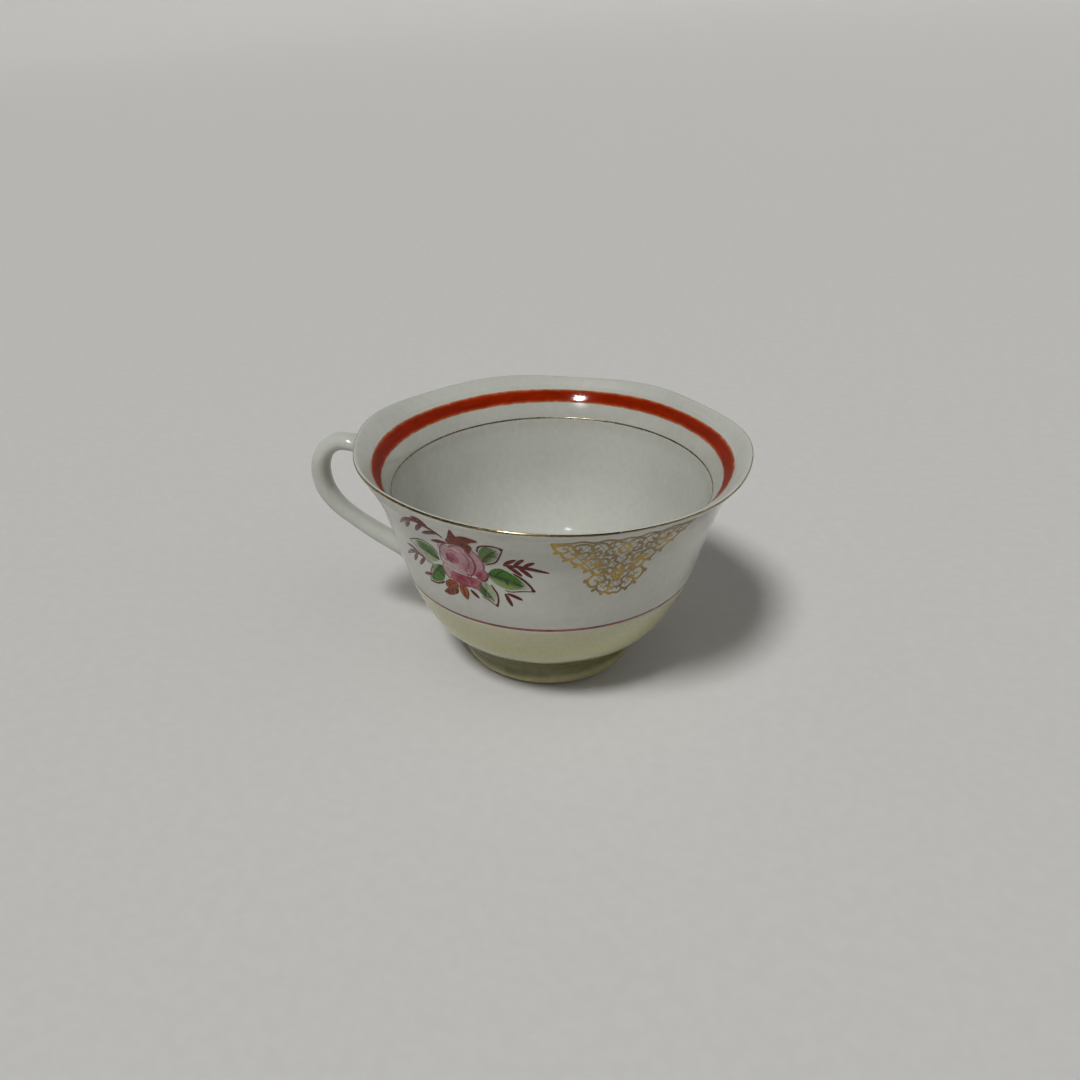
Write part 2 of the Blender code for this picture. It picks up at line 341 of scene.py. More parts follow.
def make_handle():
    """A swept oval section, whose lengthwise fibres run out onto the wall in a fillet at each end."""
    line = smooth([(r, z, s) for r, z, s in HANDLE_LINE], spacing=0.12, passes=30)
    centre = np.stack([-line[:, 0], 0 * line[:, 0], line[:, 1]], axis=1)
    across = np.array([0.0, 1.0, 0.0])
    out = np.cross(across, directions(centre))
    turns = np.linspace(0.0, 2 * math.pi, HANDLE_SIDES, endpoint=False)
    # The section is a soft oval, a little flatter on the finger's side.
    thick = HANDLE_THICK * np.where(np.sin(turns) < 0, 0.96, 1.0) * np.sin(turns)
    wide = HANDLE_WIDE * np.sign(np.cos(turns)) * np.abs(np.cos(turns)) ** 0.9
    spoke = out[:, None] * thick[None, :, None] + across * wide[None, :, None]
    grid = centre[:, None] + spoke * line[:, 2][:, None, None]
    radial = spoke / np.linalg.norm(spoke, axis=2)[..., None]

    distance = wall_distance(grid.reshape(-1, 3))[0].reshape(grid.shape[:2])
    upper = (np.arange(len(line)) < len(line) // 2)[:, None]
    upward = np.clip(radial[..., 2], 0.0, 1.0)
    fillet = np.where(upper, UPPER_FILLET * (1.0 - 0.9 * upward), LOWER_FILLET)
    near = np.clip(1.0 - distance / fillet, 0.0, 1.0)
    spread = fillet * (1.0 - np.sqrt(np.clip(1.0 - near**2, 0.0, 1.0)))
    moved = grid + radial * spread[..., None]
    again, way = wall_distance(moved.reshape(-1, 3))
    again, way = again.reshape(grid.shape[:2]), way.reshape(grid.shape)
    moved += way * ((distance - again) * (near > 0))[..., None]

    # Each fibre is cut where it dips under the glaze of the wall, and then shares out its points,
    # which crowd towards the two fillets.
    t = np.linspace(-1.0, 1.0, HANDLE_ROWS)
    share = 0.5 + 0.5 * (0.55 * t + 0.45 * np.sin(t * math.pi / 2))
    fibres = np.zeros((HANDLE_ROWS, HANDLE_SIDES, 3))
    for k in range(HANDLE_SIDES):
        outside = np.where(distance[:, k] > -HANDLE_SUNK)[0]
        fibre = moved[outside[0] : outside[-1] + 1, k]
        along = distances(fibre)
        fibres[:, k] = np.stack([np.interp(share * along[-1], along, fibre[:, c]) for c in range(3)], 1)
    faces = quads(HANDLE_ROWS, HANDLE_SIDES)
    # The two ends are capped under the glaze.
    tips = np.stack([fibres[0].mean(0), fibres[-1].mean(0)])
    gap, way = wall_distance(tips)
    tips -= way * (HANDLE_SUNK + gap)[:, None]
    last, tip = (HANDLE_ROWS - 1) * HANDLE_SIDES, HANDLE_ROWS * HANDLE_SIDES
    for k in range(HANDLE_SIDES):
        m = (k + 1) % HANDLE_SIDES
        faces.append((tip, m, k))
        faces.append((tip + 1, last + k, last + m))
    verts = np.concatenate([fibres.reshape(-1, 3), tips])
    return face_out(make_object("handle_body", np.array(AXIS) + verts * MM, faces))


# ---- motifs laid on the wall

# The charts were drawn for a wall on which a degree is this many millimetres long.
DEGREE_LENGTH = 0.72


class Motif:
    """Gathers painted patches and strokes in one mesh. Its chart is in millimetres around and up."""

    def __init__(self, angle, middle):
        self.angle = angle
        self.middle = middle
        self.verts = []
        self.faces = []
        self.colours = []

    def lay(self, u, v, lift):
        height = self.middle + v
        heights = OUTSIDE[::-1, 1]
        base = np.interp(height, heights, OUTSIDE[::-1, 0])
        out = [np.interp(height, heights, OUTSIDE_NORMALS[::-1, k]) for k in (0, 1)]
        angle = np.radians(self.angle + u / DEGREE_LENGTH)
        return placed(base + out[0] * lift, height + out[1] * lift, angle)

    def add(self, verts, faces, colours):
        start = len(self.verts)
        self.verts.extend(verts)
        self.colours.extend(colours)
        self.faces.extend(tuple(start + i for i in face) for face in faces)

    def patch(self, outline, paint, level=0, lift=0.055, rings=9):
        """A filled shape, domed by its lift. paint(u, v, share from the middle) gives a colour."""
        outline = np.asarray(outline, float)
        middle = outline.mean(0)
        count = len(outline)
        verts, colours = [], []
        floor = LEVEL_STEP * level
        sunk = PATCH_RIM_SUNK if level == 0 else 0.0
        for i in range(rings, 0, -1):
            share = i / rings
            height = floor - sunk + lift * (1.0 - share**5)
            for u, v in middle + (outline - middle) * share:
                verts.append(self.lay(u, v, height))
                colours.append(paint(u, v, share))
        for height in (floor + lift, floor - PATCH_SUNK):
            verts.append(self.lay(*middle, height))
            colours.append(paint(*middle, 0.0))
        faces = quads(rings, count)
        top, bottom = len(verts) - 2, len(verts) - 1
        inner = (rings - 1) * count
        for k in range(count):
            m = (k + 1) % count
            faces.append((inner + k, inner + m, top))
            faces.append((m, k, bottom))
        self.add(verts, faces, colours)

    def stroke(self, points, width, paint, level=0, lift=0.06, taper=(0.25, 0.25), spacing=0.16):
        """A brushed line, thickest in its middle; taper is the share of its width at each end."""
        path = resample(catmull_rom([tuple(map(float, p)) for p in points], 10), spacing)
        side = crosswise(directions(path))
        along = np.linspace(0.0, 1.0, len(path))
        body = np.sin(math.pi * along) ** 0.55
        ends = taper[0] + (taper[1] - taper[0]) * along
        half = 0.5 * width * (ends + (1.0 - ends) * body)
        floor = LEVEL_STEP * level
        verts, colours = [], []
        for (u, v), (su, sv), h in zip(path, side, half):
            full = min(1.0, h / (0.5 * width) + 0.2)
            for x in STROKE_ACROSS:
                height = floor - EDGE_SUNK + lift * (1.0 - abs(x) ** 2.4) * full
                verts.append(self.lay(u + su * h * x, v + sv * h * x, height))
                colours.append(paint(u, v, abs(x)))
            verts.append(self.lay(u, v, floor - STROKE_SUNK))
            colours.append(paint(u, v, 1.0))
        size = len(STROKE_ACROSS) + 1
        faces = quads(len(path), size)
        faces.append(tuple(range(size)))
        faces.append(tuple(range(len(path) * size - 1, (len(path) - 1) * size - 1, -1)))
        self.add(verts, faces, colours)

    def make(self, name):
        obj = make_object(name, self.verts, self.faces)
        paint = obj.data.color_attributes.new("paint", "FLOAT_COLOR", "POINT")
        flat = np.concatenate([np.asarray(self.colours, np.float32), np.ones((len(self.colours), 1))], 1)
        paint.data.foreach_set("color", flat.astype(np.float32).ravel())
        return obj


def mixed(a, b, share):
    share = min(max(share, 0.0), 1.0)
    return tuple(x + (y - x) * share for x, y in zip(a, b))


def grain(u, v, scale=0.9, seed=0.0):
    """Smooth noise between about 0 and 1."""
    return 0.5 + 0.5 * noise.noise(Vector((u * scale, v * scale, seed)))


def bowed(root, tip, aside, up):
    """A short line whose middle is moved off the straight one."""
    return root, ((root[0] + tip[0]) / 2 + aside, (root[1] + tip[1]) / 2 + up), tip


def oval(centre, size, tilt, bumps=(), count=44):
    """A closed, slightly lobed oval. bumps are (waves around, share of the radius, degrees)."""
    turn = math.radians(tilt)
    points = []
    for i in range(count):
        a = 2 * math.pi * i / count
        k = 1.0 + sum(s * math.cos(n * (a - math.radians(p))) for n, s, p in bumps)
        x, y = size[0] * k * math.cos(a), size[1] * k * math.sin(a)
        points.append((
            centre[0] + x * math.cos(turn) - y * math.sin(turn),
            centre[1] + x * math.sin(turn) + y * math.cos(turn),
        ))
    return points


def ring(points, steps=6):
    """A smooth closed outline through the points."""
    points = [tuple(map(float, p)) for p in points]
    around = [*points[-2:], *points, *points[:3]]
    line = catmull_rom(around, steps)
    return np.array(line[2 * steps:(2 + len(points)) * steps])


# Colours of the transfers, before the material's own variation.
PINK_PALE = (0.48, 0.31, 0.32)
PINK = (0.4, 0.17, 0.2)
PINK_DEEP = (0.26, 0.04, 0.065)
CRIMSON = (0.27, 0.02, 0.045)
MAROON = (0.115, 0.02, 0.022)
MAROON_WORN = (0.235, 0.135, 0.12)
RUST = (0.3, 0.062, 0.022)
RUST_DARK = (0.12, 0.018, 0.009)
RUST_LIGHT = (0.46, 0.15, 0.04)
GREEN = (0.055, 0.18, 0.022)
GREEN_DEEP = (0.022, 0.065, 0.016)
GREEN_OLIVE = (0.105, 0.19, 0.05)
GREEN_LIGHT = (0.235, 0.345, 0.115)
GREEN_PALE = (0.36, 0.41, 0.25)
BARE = (0.52, 0.53, 0.48)
GOLD_PRINT = (0.56, 0.365, 0.072)
GOLD_EDGE = (0.17, 0.115, 0.05)
GOLD_WORN_AND_SHADED = (0.25, 0.19, 0.105)
GOLD_NET = (0.34, 0.305, 0.22)


def petal_paint(pale, deep, fold, reach):
    """Pale enamel that deepens towards a fold, given as a point and how far its shade reaches."""
    def paint(u, v, share):
        near = math.exp(-((u - fold[0]) ** 2 + (v - fold[1]) ** 2) / (reach * reach))
        edge = 0.28 * max(0.0, share - 0.75) / 0.25
        wash = 0.55 * (grain(u, v, 1.1, 3.0) - 0.5) + 0.4 * (grain(u, v, 3.5, 5.0) - 0.5)
        return mixed(pale, deep, near + edge + wash)
    return paint


def plain_paint(colour, dark, amount=0.5, seed=0.0):
    def paint(u, v, share):
        return mixed(colour, dark, amount * grain(u, v, 1.6, seed))
    return paint


ROSE_BODY = (
    (-4.9, 6.2), (-3.2, 8.0), (-0.6, 8.9), (2.0, 8.7), (4.0, 7.2), (5.0, 4.6), (5.7, 2.0), (5.5, -0.5),
    (3.8, -1.8), (2.4, -3.6), (0.2, -4.4), (-2.4, -4.6), (-5.0, -3.8), (-6.3, -1.8), (-6.4, 1.2), (-5.9, 4.0),
)
ROSE_PETALS = (
    # centre, size, tilt, bumps, pale, deep, fold, reach
    ((0.9, 6.2), (3.0, 2.5), 20, ((3, 0.06, 40),), PINK_PALE, PINK, (1.5, 4.6), 2.2),
    ((-3.6, 4.6), (2.4, 3.0), 20, ((3, 0.08, 100),), PINK_PALE, PINK, (-3.0, 3.0), 2.2),
    ((-4.2, -0.8), (2.3, 2.6), -25, ((4, 0.05, 0),), PINK_PALE, PINK, (-3.2, 1.1), 1.5),
    ((3.2, 3.2), (2.0, 3.7), -12, ((3, 0.06, 0),), PINK_PALE, PINK, (2.0, 2.0), 2.2),
    ((4.2, 0.5), (1.6, 2.0), -20, ((4, 0.07, 20),), PINK, PINK_DEEP, (3.5, -0.1), 1.5),
    ((1.8, -2.7), (2.0, 1.7), -35, ((3, 0.08, 200),), PINK, CRIMSON, (0.7, -2.2), 1.7),
    ((-1.6, -2.4), (3.4, 2.1), -8, ((5, 0.05, 10),), PINK, CRIMSON, (-1.5, -2.5), 2.3),
    ((-2.4, 0.5), (3.5, 1.6), -14, ((3, 0.06, 80),), (0.51, 0.4, 0.39), PINK, (0.2, 1.7), 1.8),
    ((-0.9, 3.6), (2.9, 3.1), 20, ((3, 0.05, 0),), PINK_PALE, PINK, (0.9, 2.2), 2.0),
    ((-2.0, 3.8), (1.8, 2.1), 15, ((3, 0.05, 60),), PINK, PINK_DEEP, (-3.0, 3.3), 1.5),
)
ROSE_LINES = (
    # line, width
    (((-5.9, 4.0), (-5.0, 6.4), (-3.2, 8.0), (-1.6, 8.2)), 0.26),
    (((-5.9, 1.4), (-6.2, 2.8), (-5.9, 4.4)), 0.22),
    (((3.4, 7.6), (4.7, 5.4), (5.1, 3.2), (4.7, 1.9)), 0.26),
    (((1.4, 7.4), (2.6, 5.2), (3.0, 2.8), (2.3, 0.6), (1.2, -0.8)), 0.5),
    (((0.2, 6.6), (1.4, 4.6), (1.4, 2.9), (0.2, 1.2)), 0.36),
    (((-3.4, 5.6), (-2.0, 6.2), (-0.6, 5.4), (-0.3, 3.6), (-1.2, 2.1)), 0.32),
    (((-3.7, 4.9), (-4.1, 3.2), (-3.2, 2.0), (-1.7, 2.2)), 0.42),
    (((-2.8, 4.6), (-1.8, 4.4), (-1.8, 3.3)), 0.3),
    (((-5.6, 1.6), (-3.8, 1.0), (-2.0, 0.2), (-0.4, -0.5), (1.4, -0.4)), 0.34),
    (((-6.4, -0.4), (-6.2, -2.4), (-5.0, -3.6)), 0.24),
    (((-2.9, -1.2), (-1.6, -1.0), (0.2, -1.3), (1.1, -2.2)), 0.36),
    (((0.4, -4.2), (2.0, -4.0), (3.4, -2.6), (3.7, -1.6)), 0.26),
    (((2.9, -0.9), (4.6, -1.4), (5.6, -0.2), (5.6, 1.6)), 0.28),
    (((3.4, 1.4), (4.0, 0.6), (3.6, -0.4)), 0.34),
)


def make_rose(motif):
    motif.patch(ring(ROSE_BODY), plain_paint(PINK, PINK_PALE, 0.7, 2.0), lift=0.03)
    for level, (centre, size, tilt, bumps, pale, deep, fold, reach) in enumerate(ROSE_PETALS, 1):
        paint = petal_paint(pale, deep, fold, reach)
        motif.patch(oval(centre, size, tilt, bumps), paint, level=level * 0.4, lift=0.05)


def make_rose_lines(motif):
    for points, width in ROSE_LINES:
        motif.stroke(points, width, plain_paint(PINK_DEEP, MAROON, 0.9), level=5, lift=0.04)


# Each leaf: outline from its base round to its tip and back, place of the tip in it,
# colours to the left and right of its vein, share of its length that is filled.
LEAVES = (
    (
        ((-6.2, 1.6), (-7.2, 4.5), (-9.8, 5.7), (-13.2, 5.3), (-16.2, 3.6), (-13.8, 1.6),
         (-12.0, -0.7), (-9.4, -1.0), (-7.4, 0.3)),
        4, (GREEN, GREEN_PALE), 0.66,
    ),
    (
        ((-6.4, 0.3), (-8.6, 0.0), (-10.6, -2.0), (-11.8, -4.6), (-12.9, -7.4), (-9.8, -6.9), (-7.3, -5.4),
         (-6.1, -3.1), (-5.9, -1.0)),
        4, (GREEN_LIGHT, GREEN), 0.84,
    ),
    (
        ((4.7, 4.0), (3.9, 6.2), (4.6, 8.5), (6.2, 10.2), (7.9, 10.2), (10.0, 9.8), (9.3, 7.6), (8.0, 5.2),
         (6.2, 3.9)),
        5, (GREEN_PALE, GREEN_OLIVE), 0.72,
    ),
    (
        ((5.1, 1.6), (6.4, 3.4), (8.6, 4.1), (10.8, 3.1), (13.0, 1.3), (14.8, -0.7), (16.1, -2.8),
         (13.6, -2.9), (10.8, -3.4), (8.4, -2.8), (6.4, -1.5), (5.2, 0.1)),
        6, (GREEN_LIGHT, GREEN), 0.7,
    ),
    (
        ((2.3, -1.6), (4.5, -1.1), (6.3, -2.3), (7.3, -4.6), (7.4, -6.8), (6.9, -8.6), (5.2, -7.3),
         (3.3, -6.3), (2.2, -4.8), (1.9, -3.0)),
        5, (GREEN, GREEN_PALE), 0.66,
    ),
)


def leaf_paint(base, tip, side_colours, filled, seed):
    """A leaf that is dark along its vein, with its own colour on each side, and left bare at its tip."""
    base, tip = np.array(base, float), np.array(tip, float)
    run = tip - base
    length = np.linalg.norm(run)
    run = run / length

    def paint(u, v, share):
        along = ((u - base[0]) * run[0] + (v - base[1]) * run[1]) / length
        side = (u - base[0]) * run[1] - (v - base[1]) * run[0]
        streak = grain(u + 2.0 * run[1], v, 1.1, seed) + 0.6 * (grain(u, v, 3.2, seed + 9.0) - 0.5)
        body = mixed(side_colours[1], side_colours[0], 0.45 + side / 1.6 + 0.7 * (streak - 0.5))
        body = mixed(body, GREEN_DEEP, 0.85 * math.exp(-((side / 0.7) ** 2)) * (1.15 - along))
        body = mixed(body, GREEN_DEEP, 1.5 * (streak - 0.52) * (1.2 - along))
        body = mixed(body, GREEN, 0.5 * max(0.0, share - 0.8) / 0.2)
        return mixed(body, BARE, (along - filled) / 0.18 + 0.6 * (streak - 0.5))
    return paint


def make_leaves(motif):
    for seed, (outline, tip, colours, filled) in enumerate(LEAVES):
        paint = leaf_paint(outline[0], outline[tip], colours, filled, seed * 1.7)
        motif.patch(ring(outline), paint, lift=0.05, rings=14)


def make_leaf_lines(motif):
    dark = plain_paint(GREEN_DEEP, MAROON, 0.6)
    maroon = plain_paint(MAROON, RUST_DARK, 0.5)
    veins = (
        ((-6.6, 1.5), (-9.5, 2.2), (-13.0, 3.2)), ((-6.7, 0.0), (-9.6, -3.0), (-11.8, -6.4)),
        ((4.8, 4.6), (6.6, 7.2), (8.9, 9.2)), ((5.5, 1.0), (9.0, 0.5), (13.2, -1.0)),
        ((2.6, -2.0), (4.6, -4.4), (6.5, -7.4)), ((9.0, 0.6), (9.9, -0.4), (10.3, -1.8)),
        ((7.4, 0.9), (8.6, 2.3), (9.8, 2.7)), ((-8.7, -2.0), (-7.6, -2.8), (-7.0, -4.0)),
        ((-9.4, 2.3), (-10.2, 3.4), (-11.6, 4.3)), ((6.0, 6.4), (7.3, 7.0), (8.6, 6.9)),
        ((4.4, -4.2), (4.2, -5.2), (4.3, -6.2)),
    )
    for points in veins:
        motif.stroke(points, 0.34, dark, level=4, lift=0.04)
    rims = (
        # line, width
        (((-6.6, 3.2), (-8.4, 5.3), (-11.4, 5.7), (-16.2, 3.6)), 0.34),
        (((-16.2, 3.6), (-13.8, 1.6), (-12.0, -0.7), (-9.4, -1.0)), 0.28),
        (((-12.9, -7.4), (-9.8, -6.9), (-7.3, -5.4)), 0.6),
        (((-9.6, -0.9), (-11.6, -4.0), (-12.9, -7.4)), 0.3),
        (((4.3, 7.6), (5.2, 9.6), (7.9, 10.3), (10.1, 9.8)), 0.5),
        (((10.1, 9.8), (9.3, 7.6), (8.0, 5.2), (5.6, 3.9)), 0.42),
        (((11.6, 2.4), (13.8, 0.6), (15.2, -1.1), (16.2, -2.8)), 0.66),
        (((16.2, -2.8), (13.6, -2.9), (10.8, -3.4), (9.4, -3.1)), 0.34),
        (((12.0, -0.8), (13.0, -1.2), (13.8, -1.1)), 0.4),
        (((6.1, -2.1), (7.3, -4.6), (7.4, -6.8), (6.9, -8.7)), 0.52),
        (((6.9, -8.7), (5.2, -7.3), (3.3, -6.3)), 0.36),
    )
    for points, width in rims:
        motif.stroke(points, width, maroon, level=3, lift=0.04, taper=(0.5, 0.6))
    blots = (((9.5, 9.5), (10.2, 9.9)), ((15.6, -2.2), (16.3, -2.9)), ((6.9, -7.9), (6.9, -8.8)))
    for root, tip in blots:
        motif.stroke(bowed(root, tip, 0.05, 0.0), 0.8, maroon, level=3.5, lift=0.04, taper=(0.5, 0.3))


RUST_TOP = (
    ((-2.8, 9.0), (-1.6, 10.3), (0.2, 10.6), (2.2, 9.9), (3.4, 8.8), (2.9, 7.4), (2.5, 6.4), (1.4, 7.8),
     (-0.4, 8.6), (-1.8, 8.3)),
    ((-2.0, 9.6), (-1.4, 11.4), (-0.5, 12.9), (0.2, 11.6), (0.9, 10.2), (-0.6, 9.4)),
    ((-0.6, 10.2), (1.0, 11.5), (3.0, 11.8), (5.2, 11.1), (3.6, 10.3), (2.0, 9.6), (0.4, 9.4)),
)
RUST_LOW = (
    ((-3.4, -4.0), (-5.4, -3.9), (-6.6, -5.0), (-6.9, -6.6), (-5.4, -6.9), (-4.0, -6.4), (-2.9, -5.2)),
    ((-3.6, -5.8), (-5.6, -6.5), (-7.4, -7.6), (-8.4, -8.9), (-6.6, -9.2), (-4.8, -8.4), (-3.4, -7.2)),
    ((-2.4, -4.2), (-0.9, -4.6), (-0.2, -6.2), (-1.0, -8.7), (-2.4, -7.6), (-2.8, -5.8)),
)


def make_rust_leaves(motif):
    for level, outline in enumerate(RUST_TOP):
        paint = plain_paint(RUST, RUST_DARK, 1.5, level)
        motif.patch(ring(outline), paint, level=2 + level * 0.5, lift=0.055)
    for level, outline in enumerate(RUST_LOW):
        paint = plain_paint(RUST_LIGHT, RUST_DARK, 1.2 + 0.4 * (level == 1), 4.0 + level)
        motif.patch(ring(outline), paint, level=2 + level * 0.5, lift=0.055)
    lines = (
        ((-1.8, 9.2), (0.4, 9.7), (3.0, 8.4)), ((-0.4, 10.0), (-0.6, 11.2), (-0.5, 12.4)),
        ((0.4, 10.3), (2.2, 10.8), (4.4, 11.0)), ((-3.6, -4.6), (-5.0, -5.2), (-6.4, -6.2)),
        ((-3.8, -6.4), (-6.0, -7.6), (-8.0, -8.8)), ((-1.7, -4.8), (-1.4, -6.6), (-1.1, -8.2)),
        ((-6.6, -4.8), (-7.0, -6.2), (-6.3, -6.9), (-5.2, -6.9)),
    )
    for points in lines:
        motif.stroke(points, 0.36, plain_paint(RUST_DARK, MAROON, 0.6), level=5, lift=0.04)


def make_sprigs(motif):
    def paint(u, v, share):
        dark = mixed(MAROON, RUST_DARK, 0.8 * grain(u, v, 1.6))
        return mixed(dark, MAROON_WORN, (-9.0 - u) / 12.0 + 0.4 * (grain(u, v, 0.8, 6.0) - 0.5))

    strokes = (
        # Right feather.
        ((9.6, 4.6), (14.0, 4.4), (19.5, 3.0)), ((9.8, 4.8), (11.0, 5.8), (12.6, 6.8)),
        ((12.0, 4.7), (12.9, 5.8), (14.2, 7.1)), ((14.0, 4.5), (15.0, 5.4), (16.4, 6.2)),
        ((10.4, 4.4), (12.0, 3.3), (13.6, 1.7)), ((12.8, 4.3), (14.3, 3.0), (15.8, 1.4)),
        # Upper left feather.
        ((-3.2, 9.6), (-5.6, 10.9), (-9.4, 11.9), (-13.0, 11.0), (-16.8, 8.3)),
        ((-4.6, 10.4), (-6.8, 9.8), (-9.2, 8.6)), ((-7.8, 11.6), (-9.4, 10.4), (-11.2, 8.6)),
        ((-2.8, 8.2), (-5.0, 7.8), (-7.2, 7.2)), ((-11.4, 11.6), (-13.0, 9.9), (-14.8, 8.0)),
        ((-6.4, 11.3), (-8.2, 12.6), (-10.6, 12.7)),
        # Lower left feather.
        ((-12.2, -0.6), (-16.2, -0.1), (-21.0, -3.0)), ((-12.6, -0.7), (-14.0, -2.0), (-15.8, -3.9)),
        ((-15.2, -0.4), (-16.6, -1.9), (-18.2, -3.8)), ((-13.8, -0.1), (-16.0, 1.0), (-19.0, 0.8)),
        ((-11.4, -4.9), (-13.0, -5.4), (-14.8, -6.2)),
        # Below.
        ((9.3, -4.2), (10.0, -6.0), (10.8, -8.0)), ((9.8, -4.1), (11.4, -4.7), (13.4, -5.7)),
        ((0.4, -5.2), (1.2, -6.1), (2.4, -7.3)),
    )
    for points in strokes:
        motif.stroke(points, 1.08, paint, level=1, lift=0.06, taper=(0.34, 0.18))


# One half of the lace, to the right of its middle line, in millimetres across and up.
LACE_SCROLLS = (
    # The two rows along its top.
    ((0.0, 9.5), (2.0, 9.1), (4.2, 9.7), (6.6, 9.2), (9.0, 9.8), (11.6, 9.4), (15.0, 9.3)),
    ((0.4, 7.6), (1.6, 8.6), (3.2, 8.4), (3.6, 7.3), (2.7, 6.9), (2.4, 7.6)),
    ((3.6, 7.6), (4.9, 8.8), (6.6, 8.5), (6.9, 7.3), (6.0, 6.9), (5.6, 7.6)),
    ((6.8, 7.7), (8.3, 8.9), (10.1, 8.6), (10.4, 7.4), (9.4, 7.0), (9.0, 7.8)),
    ((10.2, 7.9), (11.6, 9.0), (13.4, 8.8), (14.6, 8.2)),
    # The scrolls down its side, each ending in a curl.
    ((14.8, 9.2), (14.0, 7.4), (12.8, 6.4), (11.7, 6.8), (11.9, 7.8), (12.7, 7.7)),
    ((13.0, 6.6), (12.4, 5.0), (11.0, 4.3), (9.8, 4.9), (10.1, 5.9), (11.0, 5.8)),
    ((11.1, 4.5), (10.3, 2.9), (8.7, 2.3), (7.6, 3.1), (8.0, 4.1), (8.9, 3.9)),
    ((8.8, 2.5), (7.8, 0.9), (6.4, 0.3), (5.3, 1.1), (5.7, 2.1), (6.6, 1.9)),
    ((6.4, 0.5), (5.6, -1.0), (4.4, -1.4), (3.5, -0.6), (4.0, 0.3), (4.7, 0.0)),
    ((4.4, -1.2), (5.8, -1.6), (6.7, -3.2), (5.8, -4.9), (4.4, -4.6), (4.4, -3.4), (5.3, -3.1)),
    ((4.5, -4.4), (4.2, -6.0), (2.8, -7.1), (1.5, -6.4), (1.7, -5.3), (2.6, -5.3)),
    ((2.2, -6.9), (1.0, -7.9), (0.0, -7.6)),
    # The scrolls within.
    ((10.4, 7.2), (9.0, 6.0), (7.6, 6.2), (7.2, 5.2), (8.0, 4.6)),
    ((7.7, 6.4), (6.4, 5.6), (5.2, 6.2), (4.9, 5.1), (5.7, 4.5), (6.3, 5.0)),
    ((7.4, 3.4), (6.2, 3.9), (4.9, 3.2), (4.6, 1.9), (5.4, 1.4)),
    ((2.6, 6.8), (3.8, 6.0), (3.6, 4.6), (2.4, 4.4), (2.1, 5.3), (2.8, 5.6)),
    ((0.0, 7.6), (1.0, 6.4), (0.9, 5.0), (0.0, 4.3)),
    ((4.8, 3.2), (3.6, 3.4), (2.6, 2.4), (3.0, 1.2), (4.0, 1.4), (3.8, 2.2)),
    ((2.2, 4.3), (1.2, 3.6), (1.3, 2.2), (0.3, 1.4)),
    ((3.4, -0.4), (2.4, 0.3), (1.3, -0.2), (1.2, -1.4), (2.1, -1.8), (2.5, -1.0)),
    ((0.0, 1.2), (0.9, 0.4), (0.6, -0.8), (0.0, -1.4)),
    ((4.2, -1.8), (3.2, -2.0), (2.6, -3.1), (3.3, -4.0), (4.0, -3.4)),
    ((2.4, -3.2), (1.4, -3.9), (1.6, -5.0)),
    ((1.4, -5.4), (0.6, -6.2), (0.0, -5.7)),
)
# Leaf-like strokes that grow out of the scrolls: root, tip.
LACE_LOBES = (
    ((13.2, 6.4), (14.4, 6.0)), ((11.2, 4.2), (12.4, 3.5)), ((8.9, 2.2), (10.0, 1.3)),
    ((6.6, 0.2), (7.8, -0.5)), ((6.6, -2.6), (7.3, -3.6)), ((4.4, -5.8), (5.3, -6.6)),
    ((2.6, -7.0), (3.0, -8.0)), ((6.4, 7.2), (6.3, 6.0)), ((3.2, 4.8), (4.2, 4.0)),
    ((1.2, 3.4), (2.2, 2.8)), ((9.6, 6.6), (9.2, 5.4)), ((2.4, -0.6), (3.0, -1.8)),
    ((0.4, -2.2), (1.2, -2.8)), ((5.0, 1.6), (4.2, 0.6)),
)
# How far the lace's middle line lies to the side, and the height of the small flower on it.
LACE_MIDDLE = 0.7
LACE_KNOT = -3.2

# Half the width of the net behind the scrolls, by height.
LACE_NET = (
    (-6.8, 1.6), (-4.6, 4.2), (-2.6, 5.2), (-0.6, 4.4), (1.6, 6.8), (4.2, 9.6), (6.6, 11.8), (9.2, 13.6),
)


def make_net(motif, paint, spacing=1.05, slope=52.0):
    """The fine diagonal mesh that fills the lace between its scrolls."""
    heights, widths = zip(*LACE_NET)
    run = (math.cos(math.radians(slope)), math.sin(math.radians(slope)))
    for side in (1, -1):
        for i in range(-28, 29):
            across = i * spacing / run[1]
            line = []
            for k in range(60):
                v = heights[0] + (heights[-1] - heights[0]) * k / 59
                u = across + side * (v - 1.0) * run[0] / run[1]
                if abs(u) < np.interp(v, heights, widths):
                    line.append((LACE_MIDDLE + u, v + 0.12 * math.sin(2.1 * u + i)))
            if len(line) > 4:
                motif.stroke(line[::3] + line[-1:], 0.3, paint, level=-0.4, lift=0.05, taper=(0.9, 0.9),
                             spacing=0.45)


# Spots of painted highlight on the gold print, where it catches the light; away from them it is duller, which
# also stands for the lip's shade over its top: (across, up, reach).
LACE_PAINTED_HIGHLIGHTS = (
    (-13.0, 7.5, 2.4), (-9.6, 4.2, 1.8), (-6.6, 1.6, 2.8), (-4.3, -2.6, 1.5), (0.7, 6.2, 1.7),
    (0.7, -2.0, 1.9), (5.6, 0.4, 2.0), (5.6, -3.8, 1.4), (-1.2, -6.4, 1.6), (10.9, 4.6, 2.0),
)


